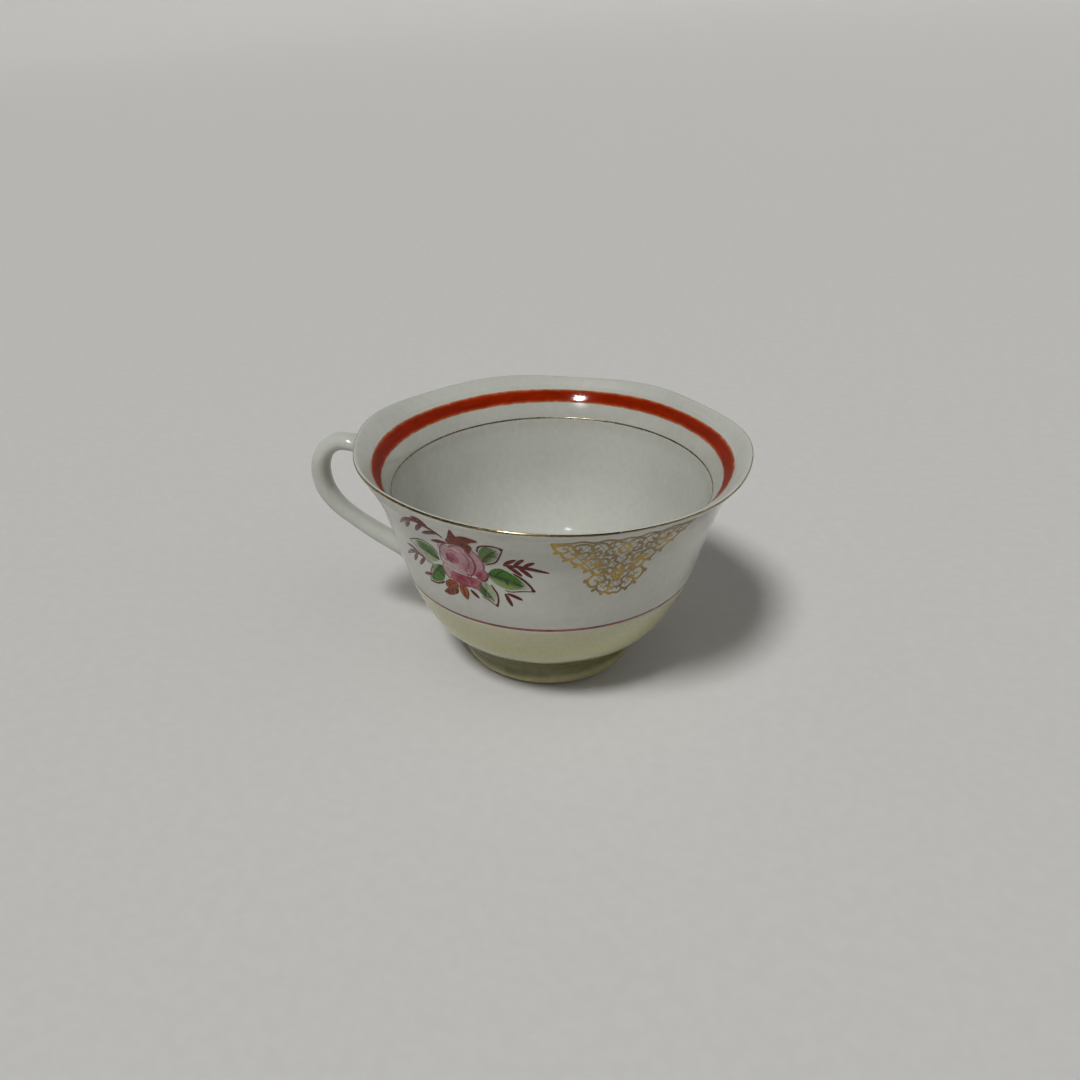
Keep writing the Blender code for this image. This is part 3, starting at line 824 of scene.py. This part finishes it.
def make_lace(motif):
    def paint(u, v, share):
        painted_highlight = sum(math.exp(-((u - x) ** 2 + (v - y) ** 2) / reach**2) for x, y, reach in LACE_PAINTED_HIGHLIGHTS)
        worn = 0.75 * grain(u, v, 0.45, 8.0) + 0.6 * (grain(u, v, 1.6, 2.0) - 0.5)
        # The print is bright gold at the painted highlights and duller elsewhere, from wear of the print and
        # from painted shade.
        body = mixed(GOLD_PRINT, GOLD_WORN_AND_SHADED, worn + 0.55 - 1.1 * min(1.0, painted_highlight))
        return mixed(body, GOLD_EDGE, 0.6 * share**2)

    def faint(u, v, share):
        return mixed(GOLD_WORN_AND_SHADED, GOLD_NET, 0.3 + grain(u, v, 0.7, 4.0))

    make_net(motif, faint)

    for side in (1, -1):
        def mirrored(points):
            return [(LACE_MIDDLE + side * x, y) for x, y in points]

        for path in LACE_SCROLLS:
            motif.stroke(mirrored(path), 0.8, paint, lift=0.06, taper=(0.7, 0.9), spacing=0.2)
        for root, tip in LACE_LOBES:
            path = mirrored(bowed(root, tip, 0.25, 0.2))
            motif.stroke(path, 1.05, paint, level=0.3, lift=0.05, taper=(0.6, 0.2), spacing=0.2)
    for i in range(5):
        turn = math.radians(72 * i + 90)
        way = (math.cos(turn), math.sin(turn))
        path = [(LACE_MIDDLE + r * way[0], LACE_KNOT + r * way[1]) for r in (0.1, 0.7, 1.25)]
        motif.stroke(path, 0.85, paint, level=1, lift=0.05, taper=(0.4, 0.4), spacing=0.2)


# ---- materials

# The values that most of a noise lies between.
NOISE_SPAN = (0.3, 0.7)
# Colours that more than one material has.
WHITE = (1.0, 1.0, 1.0)
# The darker glaze below the lip: partly pooled glaze, partly painted shade.
POOLED_GLAZE_AND_SHADE = (0.9, 0.895, 0.885)
# The dark olive low on the ground and on the foot is partly painted shade in the cove under the bowl.
OLIVE_IN_PAINTED_SHADE = (0.155, 0.15, 0.062)
# How strongly the glaze mirrors, on the wall and on the low part where it is dull.
GLAZE_SHINE = 0.45
LOW_SHINE = 0.02
# Heights in metres: where the glaze is darker, as pooled glaze and painted shade under the lip, where it
# starts to shine, where the lip is worn.
POOL_AND_SHADE_SPAN = (0.043, 0.055)
SHINE_SPAN = (0.03, 0.04)
WORN_SPAN = (0.0548, 0.056)


class Look:
    """A Principled material with small helpers for its nodes."""

    def __init__(self, name, roughness, metallic=0.0, coat=0.0):
        self.material = bpy.data.materials.new(name)
        self.material.use_nodes = True
        self.tree = self.material.node_tree
        self.shader = self.tree.nodes["Principled BSDF"]
        self.shader.inputs["Roughness"].default_value = roughness
        self.shader.inputs["Metallic"].default_value = metallic
        self.shader.inputs["Coat Weight"].default_value = coat
        self.shader.inputs["Coat Roughness"].default_value = 0.06
        self.place = self.tree.nodes.new("ShaderNodeTexCoord").outputs["Object"]

    def feed(self, socket, value):
        """Gives a socket another node's output, or a value of its own."""
        if isinstance(value, bpy.types.NodeSocket):
            self.tree.links.new(value, socket)
        else:
            socket.default_value = value

    def shade(self, name, value):
        """Feeds one of the shader's inputs."""
        self.feed(self.shader.inputs[name], value)

    def node(self, kind, **inputs):
        made = self.tree.nodes.new(kind)
        for key, value in inputs.items():
            self.feed(made.inputs[key], value)
        return made

    def noise(self, scale, detail=3.0, rough=0.5, stretch=None):
        vector = self.place
        if stretch:
            vector = self.node("ShaderNodeMapping", Vector=vector, Scale=stretch).outputs[0]
        made = self.node("ShaderNodeTexNoise", Vector=vector, Scale=scale, Detail=detail, Roughness=rough)
        return made.outputs["Fac"]

    def ramp(self, value, *stops):
        made = self.node("ShaderNodeValToRGB", Fac=value)
        made.color_ramp.interpolation = "EASE"
        elements = made.color_ramp.elements
        while len(elements) < len(stops):
            elements.new(0.5)
        for element, (place, colour) in zip(elements, stops):
            element.position = place
            element.color = (*colour, 1.0)
        return made.outputs["Color"]

    def range(self, value, low, high, new_low=0.0, new_high=1.0):
        made = self.node("ShaderNodeMapRange", Value=value)
        for key, number in zip(("From Min", "From Max", "To Min", "To Max"), (low, high, new_low, new_high)):
            made.inputs[key].default_value = number
        return made.outputs["Result"]

    def mix(self, share, a, b, blend="MIX"):
        made = self.tree.nodes.new("ShaderNodeMix")
        made.data_type = "RGBA"
        made.blend_type = blend
        for index, value in ((0, share), (6, a), (7, b)):
            self.feed(made.inputs[index], (*value, 1.0) if isinstance(value, tuple) else value)
        return made.outputs[2]

    def math(self, kind, a, b=0.0):
        made = self.tree.nodes.new("ShaderNodeMath")
        made.operation = kind
        for socket, value in zip(made.inputs, (a, b)):
            self.feed(socket, value)
        return made.outputs[0]

    def part_of_place(self, axis):
        """X, Y or Z of the shaded point, in metres. Z is the height above the foot."""
        return self.node("ShaderNodeSeparateXYZ", Vector=self.place).outputs[axis]

    def height(self):
        return self.part_of_place("Z")

    def either_way(self, value, size):
        """Spreads a noise out between -size and size."""
        return self.range(value, *NOISE_SPAN, -size, size)

    def attribute(self, name, colour=False):
        made = self.tree.nodes.new("ShaderNodeAttribute")
        made.attribute_name = name
        return made.outputs["Color" if colour else "Fac"]

    def colour(self, socket):
        self.shade("Base Color", socket)

    def roughness(self, value, low, high):
        self.shade("Roughness", self.range(value, *NOISE_SPAN, low, high))

    def bump(self, value, strength, distance):
        made = self.node("ShaderNodeBump", Height=value, Strength=strength, Distance=distance)
        self.shade("Normal", made.outputs[0])


def glazed(look, light, dark, polish=0.05, lip_wear=0.0, dull_low=True):
    """Clear glaze over porcelain: cloudy tone, faint mottling and rare iron specks."""
    cloud = look.noise(38.0, 4.0, 0.55)
    base = look.ramp(cloud, (0.3, dark), (0.7, light))
    mottle = look.ramp(look.noise(620.0, 3.0, 0.6), (0.25, (0.88, 0.88, 0.86)), (0.75, WHITE))
    base = look.mix(0.55, base, mottle, "MULTIPLY")
    cell = look.node("ShaderNodeTexVoronoi", Vector=look.place, Scale=130.0)
    speck = look.range(cell.outputs["Distance"], 0.035, 0.075, 1.0, 0.0)
    rare = look.range(look.noise(90.0, 1.0), 0.6, 0.66)
    speck = look.math("MULTIPLY", speck, rare)
    base = look.mix(look.math("MULTIPLY", speck, 0.55), base, (0.2, 0.15, 0.1))
    # The glaze is darker in a band below the lip, inside and out: a little pooled glaze, and painted shade
    # under the lip's overhang.
    pooled_and_shade = look.ramp(
        look.range(look.height(), *POOL_AND_SHADE_SPAN),
        (0.1, WHITE),
        (0.42, POOLED_GLAZE_AND_SHADE),
        (0.68, POOLED_GLAZE_AND_SHADE),
        (0.88, WHITE),
    )
    base = look.mix(1.0, base, pooled_and_shade, "MULTIPLY")
    look.shade("Specular IOR Level", GLAZE_SHINE)
    if dull_low:
        shine = look.range(look.height(), *SHINE_SPAN, LOW_SHINE, GLAZE_SHINE)
        look.shade("Specular IOR Level", shine)
    # Drinking has worn the lip.
    wear = look.range(look.height(), *WORN_SPAN, 0.0, lip_wear)
    uneven = look.range(look.noise(55.0, 2.0), *NOISE_SPAN, polish, polish + 0.05)
    look.shade("Roughness", look.math("ADD", uneven, wear))
    waves = look.noise(95.0, 2.0, 0.4)
    pores = look.noise(1500.0, 1.0, 0.4)
    look.bump(look.math("ADD", waves, look.math("MULTIPLY", pores, 0.06)), 0.1, 0.0006)
    return base


def porcelain_look(name, *finish):
    look = Look(name, 0.08)
    look.colour(glazed(look, (0.58, 0.588, 0.538), (0.53, 0.538, 0.488), *finish))
    return look.material


def foot_porcelain_look():
    look = Look("foot_porcelain_glaze", 0.2)
    base = glazed(look, (0.56, 0.56, 0.5), (0.51, 0.51, 0.455))
    grit = look.noise(1800.0, 2.0, 0.7)
    bare = look.ramp(grit, (0.3, (0.42, 0.36, 0.27)), (0.7, (0.62, 0.56, 0.46)))
    edge = look.math("ADD", look.height(), look.either_way(look.noise(260.0), 0.0002))
    unglazed = look.range(edge, 0.0004, 0.0007, 1.0, 0.0)
    look.colour(look.mix(unglazed, base, bare))
    look.shade("Roughness", look.range(unglazed, 0.0, 1.0, 0.15, 0.75))
    return look.material


def red_look():
    look = Look("iron_red_enamel", 0.08)
    look.shade("Specular IOR Level", 0.12)
    margin = look.attribute("margin")
    brush = look.noise(160.0, 4.0, 0.6, stretch=(1.0, 1.0, 5.0))
    ragged = look.math("ADD", margin, look.either_way(look.noise(420.0, 3.0), 0.14))
    base = look.ramp(
        look.range(ragged, 0.0, 1.3),
        (0.02, (0.52, 0.44, 0.36)),
        (0.2, (0.44, 0.19, 0.11)),
        (0.45, (0.36, 0.05, 0.012)),
        (0.85, (0.27, 0.016, 0.001)),
    )
    tone = look.ramp(brush, (0.25, (0.72, 0.66, 0.6)), (0.75, (1.15, 1.1, 1.0)))
    look.colour(look.mix(0.8, base, tone, "MULTIPLY"))
    # The band shines at the front and the back of the cup and is dull at its two sides.
    aside = look.math("ABSOLUTE", look.math("SUBTRACT", look.part_of_place("X"), AXIS.x))
    look.shade("Roughness", look.range(aside, 0.02, 0.036, 0.08, 0.42))
    look.bump(brush, 0.08, 0.0003)
    return look.material


def gold_look(name, bright, dull, roughness):
    look = Look(name, roughness, metallic=1.0)
    look.colour(look.ramp(look.noise(330.0, 4.0, 0.65), (0.3, dull), (0.62, bright)))
    look.roughness(look.noise(700.0, 3.0), roughness - 0.08, roughness + 0.1)
    look.bump(look.noise(900.0, 2.0), 0.1, 0.0002)
    return look.material


def maroon_look():
    look = Look("maroon_enamel_line", 0.2, coat=0.2)
    brush = look.noise(300.0, 3.0, 0.6)
    look.colour(look.ramp(brush, (0.3, (0.12, 0.02, 0.014)), (0.7, (0.25, 0.06, 0.04))))
    look.roughness(look.noise(500.0), 0.16, 0.28)
    return look.material


def yellow_look():
    look = Look("yellow_enamel_ground", 0.12)
    drift = look.either_way(look.noise(70.0, 3.0), 0.0007)
    level = look.range(look.math("ADD", look.height(), drift), 0.006, 0.028)
    # Below about 13 mm the ground deepens to dark olive: a darker enamel, with painted shade of the cove
    # above the foot.
    base = look.ramp(
        level,
        (0.0, OLIVE_IN_PAINTED_SHADE),
        (0.31, (0.165, 0.16, 0.07)),
        (0.4, (0.5, 0.49, 0.32)),
        (0.56, (0.52, 0.5, 0.275)),
        (0.8, (0.52, 0.505, 0.32)),
        (1.0, (0.53, 0.515, 0.385)),
    )
    grains = look.ramp(look.noise(820.0, 3.0, 0.7), (0.25, (0.8, 0.82, 0.68)), (0.7, WHITE))
    look.colour(look.mix(0.6, base, grains, "MULTIPLY"))
    look.roughness(look.noise(120.0), 0.11, 0.2)
    look.bump(look.noise(180.0, 3.0), 0.1, 0.0005)
    return look.material


def foot_enamel_look():
    look = Look("foot_enamel_painted_light_and_shade", 0.14)
    drift = look.either_way(look.noise(150.0, 3.0), 0.0005)
    level = look.range(look.math("ADD", look.height(), drift), 0.0, 0.0085)
    # Lighter at the bottom as painted light, where the foot flares out and up towards the light; dark olive
    # above it, partly painted shade in the cove under the bowl.
    base = look.ramp(
        level,
        (0.05, (0.52, 0.475, 0.275)),
        (0.27, (0.42, 0.385, 0.2)),
        (0.55, (0.165, 0.16, 0.068)),
        (1.0, OLIVE_IN_PAINTED_SHADE),
    )
    tone = look.ramp(look.noise(420.0, 4.0, 0.6), (0.25, (0.75, 0.78, 0.65)), (0.7, (1.05, 1.03, 1.0)))
    look.colour(look.mix(0.7, base, tone, "MULTIPLY"))
    look.roughness(look.noise(160.0), 0.12, 0.24)
    look.bump(look.noise(260.0, 3.0), 0.12, 0.0005)
    return look.material


def transfer_look(name, roughness, metallic=0.0):
    """Printed colours, kept on the mesh, broken up by the dots and the wear of the print."""
    look = Look(name, roughness, metallic=metallic)
    look.shade("Specular IOR Level", 0.2)
    dots = look.noise(2600.0, 2.0, 0.6)
    tone = look.ramp(dots, (0.25, (0.74, 0.74, 0.74)), (0.75, (1.15, 1.15, 1.15)))
    look.colour(look.mix(0.7, look.attribute("paint", colour=True), tone, "MULTIPLY"))
    look.roughness(look.noise(800.0), roughness - 0.05, roughness + 0.1)
    look.bump(dots, 0.08, 0.0002)
    return look.material


# ---- putting it together


def fit_out(obj, material, slot, *nodes):
    obj.data.materials.clear()
    obj.data.materials.append(material)
    if nodes:
        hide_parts(*nodes)
    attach(obj, "root")


def make_cup():
    fit_out(make_bowl(), porcelain_look("porcelain_glaze", 0.05, 0.32), "porcelain", "bowl")
    fit_out(make_foot(), foot_porcelain_look(), "foot_porcelain", "foot_ring")
    handle = make_handle()
    handle_nodes = ("handle", "upper_slip_joint", "lower_slip_joint")
    fit_out(handle, porcelain_look("handle_glaze", 0.02, 0.0, False), "handle_porcelain", *handle_nodes)


def gilded_lip():
    """The stretch of the lip that the rim's gilding covers."""
    lip = resample(OUTSIDE[:RIM_POINTS], 0.05)
    upward = normals(lip, 1)[:, 1]
    gilded = (upward < RIM_GOLD[0]) & (upward > RIM_GOLD[1]) & (lip[:, 1] > LIP_HEIGHT - RIM_DEPTH)
    return lip[gilded]


def make_bands():
    inner_gold = gold_look("inner_gilding", (0.36, 0.29, 0.17), (0.2, 0.165, 0.105), 0.3)
    rim_gold = gold_look("rim_gold", (0.42, 0.325, 0.175), (0.22, 0.17, 0.095), 0.21)
    yellow, olive = yellow_look(), foot_enamel_look()
    bands = (
        # Piece, stretch of wall, side, lift, width of its edge, material, slot, node.
        ("red_band_enamel", stretch(INSIDE, *RED_BAND, 0.12), -1, 0.07, 0.7, red_look(), "red_enamel",
         "red_band"),
        ("inner_gilt_line", stretch(INSIDE, *INNER_LINE, 0.06), -1, 0.06, 0.2, inner_gold, "gold",
         "inner_gold_line"),
        ("rim_gilt_edge", gilded_lip(), 1, 0.05, 0.15, rim_gold, "gold", "rim_gilding"),
        ("maroon_stripe", stretch(OUTSIDE, *MAROON_LINE, 0.06), 1, 0.05, 0.15, maroon_look(),
         "maroon_enamel", "maroon_line"),
        ("yellow_ground_glaze", stretch(OUTSIDE, *YELLOW_GROUND, 0.35), 1, 0.07, 0.5, yellow,
         "yellow_enamel", "yellow_ground"),
        ("foot_glaze", stretch(OUTSIDE, *FOOT_ENAMEL, 0.2), 1, 0.09, 0.5, olive, "foot_enamel",
         "foot_enamel"),
    )
    for name, line, side, lift, edge, material, slot, node in bands:
        fit_out(layer(name, line, side, lift, edge), material, slot, node)


def make_transfers():
    enamel = transfer_look("rose_enamels", 0.22)
    parts = (
        ("rose_petals", make_rose),
        ("rose_outlines", make_rose_lines),
        ("green_leaves", make_leaves),
        ("leaf_outlines", make_leaf_lines),
        ("rust_leaves", make_rust_leaves),
        ("maroon_sprigs", make_sprigs),
    )
    for name, draw in parts:
        motif = Motif(*ROSE_PLACE)
        draw(motif)
        nodes = ("rose_decal",) if name == "rose_petals" else ()
        fit_out(motif.make(name), enamel, "rose_transfer", *nodes)
    lace = Motif(*LACE_PLACE)
    make_lace(lace)
    print_gold = transfer_look("lace_gold_print", 0.42, metallic=0.3)
    fit_out(lace.make("gold_lace"), print_gold, "lace_transfer", "lace_decal")


# The stage's flat radius, the radius of the curve that it turns up in, the top of its wall, how far
# it lies under the foot, all in metres, and its points around.
STAGE_FLAT = 2.5
STAGE_CURVE = 1.5
STAGE_TOP = 2.1
STAGE_GAP = 0.00002
STAGE_AROUND = 96


def make_stage():
    """A pale floor that turns up into a wall all round, far from the cup."""
    profile = [(STAGE_FLAT, 0.0)]
    for i in range(1, 13):
        a = math.pi / 2 * i / 12
        profile.append((STAGE_FLAT + STAGE_CURVE * math.sin(a), STAGE_CURVE * (1.0 - math.cos(a))))
    profile.append((STAGE_FLAT + STAGE_CURVE, STAGE_TOP))
    turns = [2 * math.pi * j / STAGE_AROUND for j in range(STAGE_AROUND)]
    verts = [(0.0, 0.0, -STAGE_GAP)]
    verts += [(r * math.cos(a), r * math.sin(a), z - STAGE_GAP) for r, z in profile for a in turns]
    faces = [(0, 1 + j, 1 + (j + 1) % STAGE_AROUND) for j in range(STAGE_AROUND)]
    faces += [(1 + a, 1 + d, 1 + c, 1 + b) for a, b, c, d in quads(len(profile), STAGE_AROUND)]
    obj = make_object("studio_floor", verts, faces)
    look = Look("pale_floor", 0.8)
    paper = look.noise(300.0, 3.0)
    look.colour(look.ramp(paper, (0.3, (0.66, 0.65, 0.63)), (0.7, (0.68, 0.67, 0.65))))
    obj.data.materials.append(look.material)


def toward(azimuth, elevation, distance):
    """A place around the middle of the cup, by degrees and metres."""
    a, e = math.radians(azimuth), math.radians(elevation)
    way = Vector((math.cos(a) * math.cos(e), math.sin(a) * math.cos(e), math.sin(e)))
    return AXIS + Vector((0.0, 0.0, 0.045)) + way * distance


def add_light(name, kind, power, azimuth, elevation, distance):
    """A light that is aimed at the cup."""
    data = bpy.data.lights.new(name, kind)
    data.energy = power
    obj = add_object(name, data)
    obj.location = toward(azimuth, elevation, distance)
    aim = toward(0.0, 0.0, 0.0) - obj.location
    obj.rotation_euler = aim.to_track_quat("-Z", "Y").to_euler()
    return obj


def make_lamp():
    """The bright lamp that the glaze mirrors. The soft suns do the lighting."""
    obj = add_light("lamp", "AREA", 2.4, -109.5, 48.6, 0.6)
    obj.data.shape = "ELLIPSE"
    obj.data.size = 0.06
    obj.data.size_y = 0.05
    obj.visible_diffuse = False


# The soft lights that fall evenly on the whole floor: name, azimuth, elevation, spread, strength.
SOFT_SUNS = (
    ("key", -118.0, 60.0, 13.0, 1.95),
    ("right_fill", -15.0, 50.0, 60.0, 0.32),
    ("left_fill", -180.0, 25.0, 60.0, 0.14),
)


def make_lights():
    make_lamp()
    for name, azimuth, elevation, spread, strength in SOFT_SUNS:
        sun = add_light(name, "SUN", strength, azimuth, elevation, 1.0)
        sun.data.angle = math.radians(spread)
        sun.visible_glossy = False
    world = bpy.data.worlds.new("studio")
    bpy.context.scene.world = world
    world.use_nodes = True
    background = world.node_tree.nodes["Background"]
    background.inputs["Color"].default_value = (0.98, 1.0, 0.97, 1.0)
    background.inputs["Strength"].default_value = 0.05


# The camera's place about the cup's axis, in millimetres, before it is turned around that axis;
# then that turn, how far the camera looks down, and its roll, in degrees.
CAMERA_PLACE = (-33.58, -224.77, 158.56)
CAMERA_TURN = 15.0
CAMERA_DOWN = 33.92
CAMERA_ROLL = -4.05


def make_camera():
    """The place and the view that the cup was seen from."""
    data = bpy.data.cameras.new("camera")
    data.sensor_width = 36.0
    data.lens = 33.33
    data.shift_x = 0.1079
    data.shift_y = 0.0781
    data.clip_start = 0.01
    obj = add_object("camera", data)
    obj.matrix_world = (
        Matrix.Translation(AXIS)
        @ Matrix.Rotation(math.radians(CAMERA_TURN), 4, "Z")
        @ Matrix.Translation(Vector(CAMERA_PLACE) * MM)
        @ Matrix.Rotation(math.radians(90.0 - CAMERA_DOWN), 4, "X")
        @ Matrix.Rotation(math.radians(CAMERA_ROLL), 4, "Z")
    )
    bpy.context.scene.camera = obj


make_camera()
make_cup()
make_bands()
make_transfers()
make_stage()
make_lights()
bpy.context.scene.view_settings.view_transform = "Standard"
